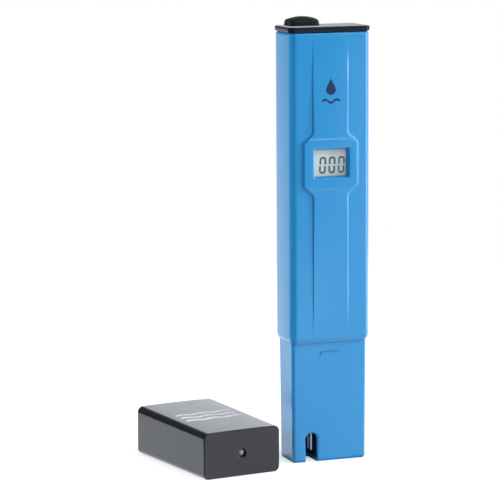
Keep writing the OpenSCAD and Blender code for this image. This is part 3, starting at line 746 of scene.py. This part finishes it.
# Battery drawer: top plate with its rounded edge, and the tray under it
drawer = {
    "plateCorner": 0.0028,
    "plateRound": 0.0006,
    "plateFoot": 0.0007,
    "plugWidth": 0.0296,
    "plugDepth": 0.0142,
    "plugCorner": 0.0007,
    "plugRound": 0.0003,    # at its lower end
    "roomLow": 0.1628,      # room of the switch
    "roomHigh": 0.1668,
    "endWall": 0.0012,
    "cellGap": 0.00015,
    "stemWidth": 0.0036,
    "stemDepth": 0.0022,
    "slideGap": 0.0002,
    "slideCorner": 0.0003,
    "sealLow": 0.1672,
    "sealHeight": 0.0014,
    "sealDepth": 0.0008,
    "stripWide": 0.0032,    # ways of the contact strips
    "stripDeep": 0.0005,
    "stripOff": 0.0104,
}


def makeDrawer():
    plateLow = Vector((drawerLow.x, drawerLow.y, shellHigh.z))
    piece = roundedBlock("batteryDrawer", plateLow, drawerHigh, drawer["plateCorner"], 2, 8)
    roundRim(piece, 2, drawerHigh.z, drawer["plateRound"], 5)
    roundRim(piece, 2, shellHigh.z, drawer["plateFoot"], 2)
    plug = offset(drawer["plugWidth"] / 2, drawer["plugDepth"] / 2)
    block = roundedBlock(
        "tray", -plug + offset(z=drawerLow.z), plug + offset(z=shellHigh.z + past),
        drawer["plugCorner"], 2, 3)
    cutGroove(block, drawer["sealLow"], drawer["sealHeight"], drawer["sealDepth"])
    roundRim(block, 2, drawerLow.z, drawer["plugRound"])
    combine(piece, block, "UNION")
    cellZ = (cellLow.z + cellHigh.z) / 2
    bay = (cellHigh.z - cellLow.z) / 2 + drawer["cellGap"]
    half = plug.x - drawer["endWall"]
    wide, deep, off = drawer["stripWide"] / 2, drawer["stripDeep"], drawer["stripOff"]
    room, foot = drawer["roomLow"], drawerLow.z - past
    cutters = [
        addRod("bay", (0, 0, cellZ), 0, bay, 2 * half, 96),
        addBlock("bayFront", (-half, -2 * plug.y, cellZ - bay), (half, 0, cellZ + bay)),
        addBlock("room", (-half, -2 * plug.y, room), (half, bay, drawer["roomHigh"])),
        makeStemWay(),
        addBlock("wayUp", (-half, -wide, cellZ), (-half + deep, wide, room + past)),
        addBlock("wayDown", (half - deep, -wide, foot), (half, wide, cellZ)),
        addBlock("wayBack", (-off - wide, bay - past, room), (-off + wide, 2 * bay, room + deep)),
        addBlock("wayOutside", (-off - wide, plug.y - deep, foot), (-off + wide, 2 * plug.y, room + deep)),
    ]
    for cutter in cutters:
        combine(piece, cutter, "DIFFERENCE")
    finishPiece(piece, "drawer", plateBlack, ["battery_drawer"])


# Slot in the top plate along which the switch's stem slides
def makeStemWay():
    travel = joints["switch_slide"]["range_m"][1]
    centre = (carrierLow + carrierHigh) / 2
    half = offset(drawer["stemWidth"], drawer["stemDepth"]) / 2
    half += offset(drawer["slideGap"], drawer["slideGap"])
    low = Vector((centre.x - half.x, centre.y - half.y, drawer["roomHigh"] - past))
    high = Vector((centre.x + half.x + travel, centre.y + half.y, drawerHigh.z + past))
    return roundedBlock("stemWay", low, high, drawer["slideCorner"], 2, 3)


makeDrawer()

# Thumb knob of the switch: a domed loaf, smoothed from a cage of a few cuts
knob = {
    "height": 0.0036,
    "hold": (0.0037, 0.0034, 0.0016),   # cuts that hold the edges, from each face
    "middle": 0.965,
    "taper": 0.87,
    "domeLong": 0.020,
    "domeShort": 0.013,
    "levels": 4,
    "stemCorner": 0.0002,
}


def makeKnob():
    base = knobHigh.z - knob["height"]
    centre = (knobLow + knobHigh) / 2
    low, high = Vector((knobLow.x, knobLow.y, base)), knobHigh
    piece = addBlock("switchKnob", low, high)
    openEdit(piece)
    for axis, hold in enumerate(knob["hold"]):
        spots = [high[axis] - hold]
        if axis < 2:
            spots += [low[axis] + hold, centre[axis]]
        cutAcross(axis, spots)
    for level, share in ((high.z - knob["hold"][2], knob["middle"]), (high.z, knob["taper"])):
        choose(piece, "VERT", lambda vert: abs(vert.co.z - level) < near)
        bpy.ops.transform.resize(value=(share, share, 1), center_override=centre)
    for vert in [vert for vert in bmesh.from_edit_mesh(piece.data).verts if vert.select]:
        across, along = vert.co.x - centre.x, vert.co.y - centre.y
        vert.co.z -= across ** 2 / (2 * knob["domeLong"]) + along ** 2 / (2 * knob["domeShort"])
    choose(piece, "EDGE", lambda edge: liesAt(edge, 2, base) and edge.calc_face_angle(0) > 1)
    bpy.ops.transform.edge_crease(value=1)
    closeEdit()
    applyModifier(piece, "SUBSURF", levels=knob["levels"], render_levels=knob["levels"])
    # Smoothing draws the knob in, so it grows back to its own size
    spans = zip(*(vert.co for vert in piece.data.vertices))
    grown = [full / (max(span) - min(span)) for full, span in zip(high - low, spans)]
    openEdit(piece)
    bpy.ops.mesh.select_all(action="SELECT")
    bpy.ops.transform.resize(value=grown, center_override=(centre.x, centre.y, base))
    closeEdit()
    stem = offset(drawer["stemWidth"] / 2, drawer["stemDepth"] / 2)
    middle = offset(centre.x, centre.y)
    block = roundedBlock(
        "stem", middle - stem + offset(z=knobLow.z), middle + stem + offset(z=base + past / 2),
        knob["stemCorner"], 2, 2)
    combine(piece, block, "UNION")
    # The plate doesn't mirror the knob
    piece.visible_glossy = False
    finishPiece(piece, "switch", matteBlack, ["switch_knob"], 40)


makeKnob()

# Protective cap, modelled straight and then turned as it lies
cap = {
    "width": 0.0332,        # at the closed end
    "height": 0.0182,
    "length": 0.0554,
    "draft": 0.00055,       # each face opens out towards the open end
    "place": (-0.041318, -0.0193, 0),       # under the middle of the closed end
    "corner": 0.0022,
    "endRound": 0.0006,
    "end": 0.0018,          # closed end
    "insideWidth": 0.0319,
    "insideHeight": 0.0151,
    "insideDraft": 0.00035,
    "insideCorner": 0.0021,
    "dimple": 0.0018,       # gate mark in the closed end
    "dimpleRound": 0.0005,
    "dimpleDepth": 0.0011,
    "nub": 0.0013,
    "nubOut": 0.4,          # its middle stands off the dimple's floor by this share
    "mouthRound": 0.0002,
    "bulge": 0.00014,       # the top is a little rounded
    "bulgeCuts": 5,         # on each side of the middle
}
capAxis = Vector(joints["cap_pull"]["axis"])
capTurn = math.atan2(-capAxis.x, capAxis.y)
capTilt = math.asin(capAxis.z)
capFlat = cap["width"] / 2 - cap["corner"]


# Lays a piece that was modelled straight, with its middle at the origin, as the cap lies
def layWithCap(piece):
    activate(piece)
    turn = Matrix.Rotation(capTurn, 4, "Z") @ Matrix.Rotation(capTilt, 4, "X")
    lift = Matrix.Translation((0, cap["length"] / 2, cap["height"] / 2))
    piece.matrix_world = Matrix.Translation(cap["place"]) @ turn @ lift
    bpy.ops.object.transform_apply()


# Rise of the cap's rounded top above its long edges
def capCrown(x):
    return cap["bulge"] * max(1 - abs(x / capFlat) ** 3, 0)


def makeCap():
    half = Vector((cap["width"], cap["length"], cap["height"])) / 2
    piece = roundedBlock("protectiveCap", -half, half, cap["corner"], 1, 8)
    openEdit(piece)
    cuts = cap["bulgeCuts"]
    spots = [capFlat * i / (cuts + 1) for i in range(-cuts, cuts + 1)]
    cutAcross(0, spots)
    for across in spots:
        choose(piece, "VERT", lambda vert: abs(vert.co.x - across) < near / 10 and vert.co.z > 0)
        bpy.ops.transform.translate(value=(0, 0, capCrown(across)))
    choose(piece, "VERT", lambda vert: vert.co.y > half.y - near)
    wider = (1 + cap["draft"] / half.x, 1, 1 + cap["draft"] / half.z)
    bpy.ops.transform.resize(value=wider, center_override=(0, 0, 0))
    closeEdit()
    roundRim(piece, 1, -half.y, cap["endRound"], 4)
    inner = offset(x=cap["insideWidth"], z=cap["insideHeight"]) / 2
    inside = roundedBlock(
        "inside", -inner + offset(y=cap["end"] - half.y), inner + offset(y=half.y + past),
        cap["insideCorner"], 1, 6)
    openEdit(inside)
    choose(inside, "VERT", lambda vert: vert.co.y < 0)
    narrower = (1 - cap["insideDraft"] / inner.x, 1, 1 - cap["insideDraft"] / inner.z)
    bpy.ops.transform.resize(value=narrower, center_override=(0, 0, 0))
    closeEdit()
    combine(piece, inside, "DIFFERENCE")
    roundRim(piece, 1, half.y, cap["mouthRound"], 2)
    dimple = addRod("dimple", (0, -half.y, 0), 1, cap["dimple"], 2 * cap["dimpleDepth"], 48)
    combine(piece, dimple, "DIFFERENCE")
    roundRim(piece, 1, -half.y, cap["dimpleRound"], 5)
    layWithCap(piece)
    finishPiece(piece, "cap", finishes["black_plastic"], ["protective_cap"])


# Rough stub that the moulding gate leaves in the dimple; its pale colour is a painted highlight
def makeGateStub():
    floorY = cap["dimpleDepth"] - cap["length"] / 2
    bpy.ops.object.select_all(action="DESELECT")
    middle = (0, floorY + cap["nub"] * cap["nubOut"], 0)
    bpy.ops.mesh.primitive_uv_sphere_add(segments=48, ring_count=24, radius=cap["nub"], location=middle)
    piece = takeNew("gateStub")
    openEdit(piece)
    bpy.ops.mesh.select_all(action="SELECT")
    bpy.ops.mesh.bisect(
        plane_co=(0, floorY + near, 0), plane_no=(0, 1, 0), clear_outer=True, use_fill=True)
    closeEdit()
    layWithCap(piece)
    finishPiece(piece, "cap", paleGateHighlight)


makeCap()
makeGateStub()

# Figures on the display: each digit is an arch over a bowl
digits = {
    "count": 3,
    "middle": 0.0007,
    "pitch": 0.0039,
    "width": 0.00282,
    "half": 0.0030,         # height of the arch
    "gap": 0.0006,
    "stroke": 0.00076,
    "round": 0.0012,
    "lean": 0.0001,
    "level": 0.1175,
    "thick": 0.00003,
}


def makeArch(name, x, z, way):
    bpy.ops.object.select_all(action="DESELECT")
    bpy.ops.mesh.primitive_plane_add(size=1, rotation=(math.pi / 2, 0, 0))
    piece = takeNew(name, (digits["width"], 2 * digits["half"], 1))
    openEdit(piece)
    choose(piece, "VERT", lambda vert: vert.co.z * way > 0)
    bpy.ops.mesh.bevel(offset=digits["round"], segments=4, affect="VERTICES")
    bpy.ops.mesh.select_mode(type="FACE")
    bpy.ops.mesh.select_all(action="SELECT")
    bpy.ops.mesh.inset(thickness=digits["stroke"])
    bpy.ops.mesh.delete(type="FACE")
    bpy.ops.mesh.select_all(action="SELECT")
    bpy.ops.mesh.bisect(plane_co=(0, 0, 0), plane_no=(0, 0, -way), clear_outer=True)
    closeEdit()
    piece.location = (x, glassLow.y, z)
    bpy.ops.object.transform_apply()
    thicken(piece, digits["thick"])
    return piece


def makeDigits():
    arches = []
    for i in range(digits["count"]):
        x = digits["middle"] + (i - (digits["count"] - 1) / 2) * digits["pitch"]
        for way in (1, -1):
            z = digits["level"] + way * digits["gap"] / 2
            arches.append(makeArch("digits", x + way * digits["lean"], z, way))
    activate(arches[0])
    for piece in arches:
        piece.select_set(True)
    bpy.ops.object.join()
    finishPiece(arches[0], "tester", segmentInk)


makeDigits()

# Plain water marks: a drop over a wave on the strip, and three waves on the cap
marks = {
    "dropLevel": 0.1470,
    "dropRadius": 0.0021,
    "dropPoint": 0.0022,    # how far the point is drawn up, and how much it narrows
    "dropPinch": 0.45,
    "sides": 48,            # of the drop, and columns of a wave
    "wave": 0.0006,
    "stripWave": (0.0074, 0.0009, 1.5),     # length, stroke and number of waves
    "stripWaveLevel": 0.1425,
    "capWave": (0.0240, 0.0023, 2.5),
    "capWaveRows": (-0.0048, 0, 0.0048),
    "thick": 0.00004,
}


# Flat wavy stripe about the origin, lying in the XY plane
def makeWave(name, length, stroke, waves, crown=None):
    bpy.ops.object.select_all(action="DESELECT")
    bpy.ops.mesh.primitive_grid_add(x_subdivisions=marks["sides"], y_subdivisions=1, size=1)
    piece = takeNew(name, (length, stroke, 1))
    openEdit(piece)
    for i in range(marks["sides"] + 1):
        share = i / marks["sides"]
        x = (share - 0.5) * length
        choose(piece, "VERT", lambda vert: abs(vert.co.x - x) < near)
        across = marks["wave"] * math.sin(2 * math.pi * waves * share)
        bpy.ops.transform.translate(value=(0, across, crown(x) if crown else 0))
    closeEdit()
    return piece


def makeDrop():
    bpy.ops.object.select_all(action="DESELECT")
    bpy.ops.mesh.primitive_circle_add(
        vertices=marks["sides"], radius=marks["dropRadius"], fill_type="NGON")
    piece = takeNew("dropMark")
    openEdit(piece)
    # The upper rows narrow to a point
    count = marks["sides"] // 4
    for i in range(count + 1):
        y = marks["dropRadius"] * math.cos(2 * math.pi * i / marks["sides"])
        choose(piece, "VERT", lambda vert: abs(vert.co.y - y) < near / 4)
        share = 1 - i / count
        narrower = 1 - marks["dropPinch"] * share
        bpy.ops.transform.resize(value=(narrower, 1, 1), center_override=(0, y, 0))
        bpy.ops.transform.translate(value=(0, marks["dropPoint"] * share ** 2, 0))
    closeEdit()
    return piece


# Stands a flat mark on the strip's sloping front
def standOnStrip(piece, level):
    activate(piece)
    step = 0.001
    slope = (stripRise(level - step) - stripRise(level + step)) / (2 * step)
    piece.rotation_euler = (math.pi / 2 - math.atan(slope), 0, 0)
    piece.location = (strip["off"], frontY - stripRise(level), level)
    bpy.ops.object.transform_apply()


def makeMarks():
    drop = makeDrop()
    wave = makeWave("waveMark", *marks["stripWave"])
    for piece, level in ((drop, marks["dropLevel"]), (wave, marks["stripWaveLevel"])):
        standOnStrip(piece, level)
        thicken(piece, marks["thick"])
        finishPiece(piece, "tester", bluePrint)
    slope = cap["draft"] / cap["length"]
    for i, y in enumerate(marks["capWaveRows"]):
        stripe = makeWave("capWave" + str(i + 1), *marks["capWave"], capCrown)
        activate(stripe)
        stripe.rotation_euler = (math.atan(slope), 0, 0)
        stripe.location = (0, y, cap["height"] / 2 + cap["draft"] / 2 + slope * y)
        bpy.ops.object.transform_apply()
        layWithCap(stripe)
        thicken(stripe, marks["thick"])
        finishPiece(stripe, "cap", palePrint)


makeMarks()

# Floor, lamps, world and camera
stage = {
    "floorRadius": 0.5,
    "floorColour": 0.90,
    "floorRough": 0.8,
    "floorLift": 0.55,      # what the camera alone sees on top of the floor's own light
    "floorSheen": 1.42,     # and what reflections see
    "coolLight": (0.91, 0.955, 1),
    "mirroredFloor": 0.35,  # reflections see this share of the floor's own colour
    # Painted shade and painted light in the floor's glow that reflections see:
    "foot": (0.0157, 0.0073),       # reflections see a dark floor close to the tester's foot
    "footFade": 1.6,
    "rightSheen": (0.02, 0.35, 1, 3.5),     # and a bright one far to the right
    "ambient": 0.27,
    # Reflections see this much at each height: pale below, a dim ceiling
    "sweep": (
        (-0.22, 1.60), (-0.06, 0.68), (0.04, 0.36), (0.09, 0.45), (0.15, 1.50),
        (0.19, 1.50), (0.24, 1.10), (0.45, 0.60), (0.75, 0.40), (0.90, 0.05)),
    "horizon": 0.03,                # half height of the band where below turns into above
    "side": (-0.05, 0.28),          # above the horizon it grows from left to right
    "left": 0.15,
    "back": (-0.20, 0.60),          # and it is brightest at the back
    "front": 0.82,
    "bright": 1.35,
    # Cards that reflections alone see: two dark ones on the left, a pale one beside the probe,
    # and one at the front right
    "cardColour": (0.01, 0.01, 0.01, 1),
    "cards": {
        "darkCard": ((-0.12, -0.25, 0), (-0.119, 0.12, 0.25), 0),
        "lowDarkCard": ((-0.0625, -0.25, 0), (-0.0615, -0.025, 0.06), 0),
        "paleCard": ((-0.0205, -0.004, 0.0002), (-0.0200, 0.06, 0.0205), 1.6),
        "rightCard": ((0.040, -0.1005, 0.0005), (0.14, -0.1, 0.165), 1.8),
    },
}
# Each lamp aims at a height on the tester's middle line
lamps = {
    "grazingRight": {"place": (0.94, -0.34, 0.30), "aim": 0.11, "size": (0.32, 0.95), "power": 8.6},
    "overFront": {"place": (0.30, -0.75, 0.95), "aim": 0.1, "size": (1.0, 0.75), "power": 6.4},
    "leftBack": {"place": (-0.90, 0.35, 0.45), "aim": 0.1, "size": (0.6, 0.6), "power": 5.6},
}
view = {
    "target": (-0.026706, 0.009929, 0.083211),
    "turn": -20.394,
    "pitch": 8.370,
    "roll": -0.336,
    "distance": 1.0885,
    "lens": 199.63,
    "sensor": 36,
}


def makeFloor():
    bpy.ops.object.select_all(action="DESELECT")
    bpy.ops.mesh.primitive_circle_add(vertices=96, radius=stage["floorRadius"], fill_type="NGON")
    floor = takeNew("paleFloor")
    material, tree, shader = newMaterial("paleFloor")
    shader.inputs["Roughness"].default_value = stage["floorRough"]
    path = addNode(tree, "LightPath")
    glossy = path.outputs["Is Glossy Ray"]
    pale = stage["floorColour"]
    colour = addRange(tree, glossy, 0, 1, pale, pale * stage["mirroredFloor"])
    tree.links.new(colour, shader.inputs["Base Color"])
    seen = addMath(tree, "MULTIPLY", path.outputs["Is Camera Ray"], stage["floorLift"])
    parts = addNode(tree, "SeparateXYZ", {"Vector": addNode(tree, "TexCoord").outputs["Object"]})
    # Painted light for reflections: the glow fades out near the tester's foot as painted shade, and grows far to
    # the right as a painted pool of light
    shares = [
        addMath(tree, "DIVIDE", addMath(tree, "ABSOLUTE", parts.outputs[axis]), half)
        for axis, half in zip("XY", stage["foot"])]
    close = addRange(tree, addMath(tree, "MAXIMUM", *shares), 1, stage["footFade"], 0, stage["floorSheen"])
    right = addRange(tree, parts.outputs["X"], *stage["rightSheen"])
    mirrored = addMath(tree, "MULTIPLY", glossy, addMath(tree, "MULTIPLY", close, right))
    tint = addRamp(tree, glossy, ((0, (1, 1, 1)), (1, stage["coolLight"])))
    tree.links.new(tint, shader.inputs["Emission Color"])
    tree.links.new(addMath(tree, "ADD", seen, mirrored), shader.inputs["Emission Strength"])
    floor.data.materials.append(material)


def makeCards():
    for name, (low, high, glow) in stage["cards"].items():
        card = addBlock(name, low, high)
        material, tree, shader = newMaterial(name)
        shader.inputs["Base Color"].default_value = stage["cardColour"]
        shader.inputs["Roughness"].default_value = 1
        shader.inputs["Emission Color"].default_value = (*stage["coolLight"], 1)
        shader.inputs["Emission Strength"].default_value = glow
        card.data.materials.append(material)
        card.visible_camera = card.visible_diffuse = False
        card.visible_shadow = card.visible_transmission = False


def makeLamps():
    for name, spec in lamps.items():
        bpy.ops.object.light_add(type="AREA", location=spec["place"])
        lamp = bpy.context.object
        lamp.name = name
        lamp.data.shape = "RECTANGLE"
        lamp.data.size, lamp.data.size_y = spec["size"]
        lamp.data.energy = spec["power"]
        way = offset(z=spec["aim"]) - Vector(spec["place"])
        lamp.rotation_euler = way.to_track_quat("-Z", "Y").to_euler()


# White for the camera; reflections see a pale sweep under a dim ceiling
def makeWorld():
    world = bpy.data.worlds.new("studio")
    scene.world = world
    world.use_nodes = True
    tree = world.node_tree
    tree.nodes.clear()
    path = addNode(tree, "LightPath")
    way = addNode(tree, "TexCoord").outputs["Generated"]
    parts = addNode(tree, "SeparateXYZ", {"Vector": way})
    height = addRange(tree, parts.outputs["Z"], -1, 1, 0, 1)
    stops = [((place + 1) / 2, (level,) * 3) for place, level in stage["sweep"]]
    back = addRange(tree, parts.outputs["Y"], *stage["back"], stage["front"], stage["bright"])
    level = addMath(tree, "MULTIPLY", addRamp(tree, height, stops), back)
    side = addRange(tree, parts.outputs["X"], *stage["side"], stage["left"], 1)
    below = addRange(tree, parts.outputs["Z"], -stage["horizon"], stage["horizon"], 1, 0)
    sweep = addMath(tree, "MULTIPLY", level, addMath(tree, "MAXIMUM", side, below))
    ambient = addNode(tree, "Background", {"Color": (0.94, 0.97, 1, 1), "Strength": stage["ambient"]})
    mirrored = addNode(tree, "Background", {"Color": (*stage["coolLight"], 1), "Strength": sweep})
    plain = addNode(tree, "Background", {"Color": (1, 1, 1, 1), "Strength": 1.0})
    first = addNode(tree, "MixShader", {"Fac": path.outputs["Is Glossy Ray"]})
    second = addNode(tree, "MixShader", {"Fac": path.outputs["Is Camera Ray"]})
    tree.links.new(ambient.outputs["Background"], first.inputs[1])
    tree.links.new(mirrored.outputs["Background"], first.inputs[2])
    tree.links.new(first.outputs["Shader"], second.inputs[1])
    tree.links.new(plain.outputs["Background"], second.inputs[2])
    result = addNode(tree, "OutputWorld")
    tree.links.new(second.outputs["Shader"], result.inputs["Surface"])


def makeCamera():
    data = bpy.data.cameras.new("photoView")
    data.lens = view["lens"]
    data.sensor_width = view["sensor"]
    camera = bpy.data.objects.new("photoView", data)
    scene.collection.objects.link(camera)
    turn, pitch, roll = (math.radians(view[name]) for name in ("turn", "pitch", "roll"))
    way = (Matrix.Rotation(turn, 4, "Z") @ Matrix.Rotation(math.pi / 2 - pitch, 4, "X")
           @ Matrix.Rotation(roll, 4, "Z"))
    place = Vector(view["target"]) + way.to_3x3() @ Vector((0, 0, view["distance"]))
    camera.matrix_world = Matrix.Translation(place) @ way
    scene.camera = camera


makeFloor()
makeCards()
makeLamps()
makeWorld()
makeCamera()
print("stage ready")
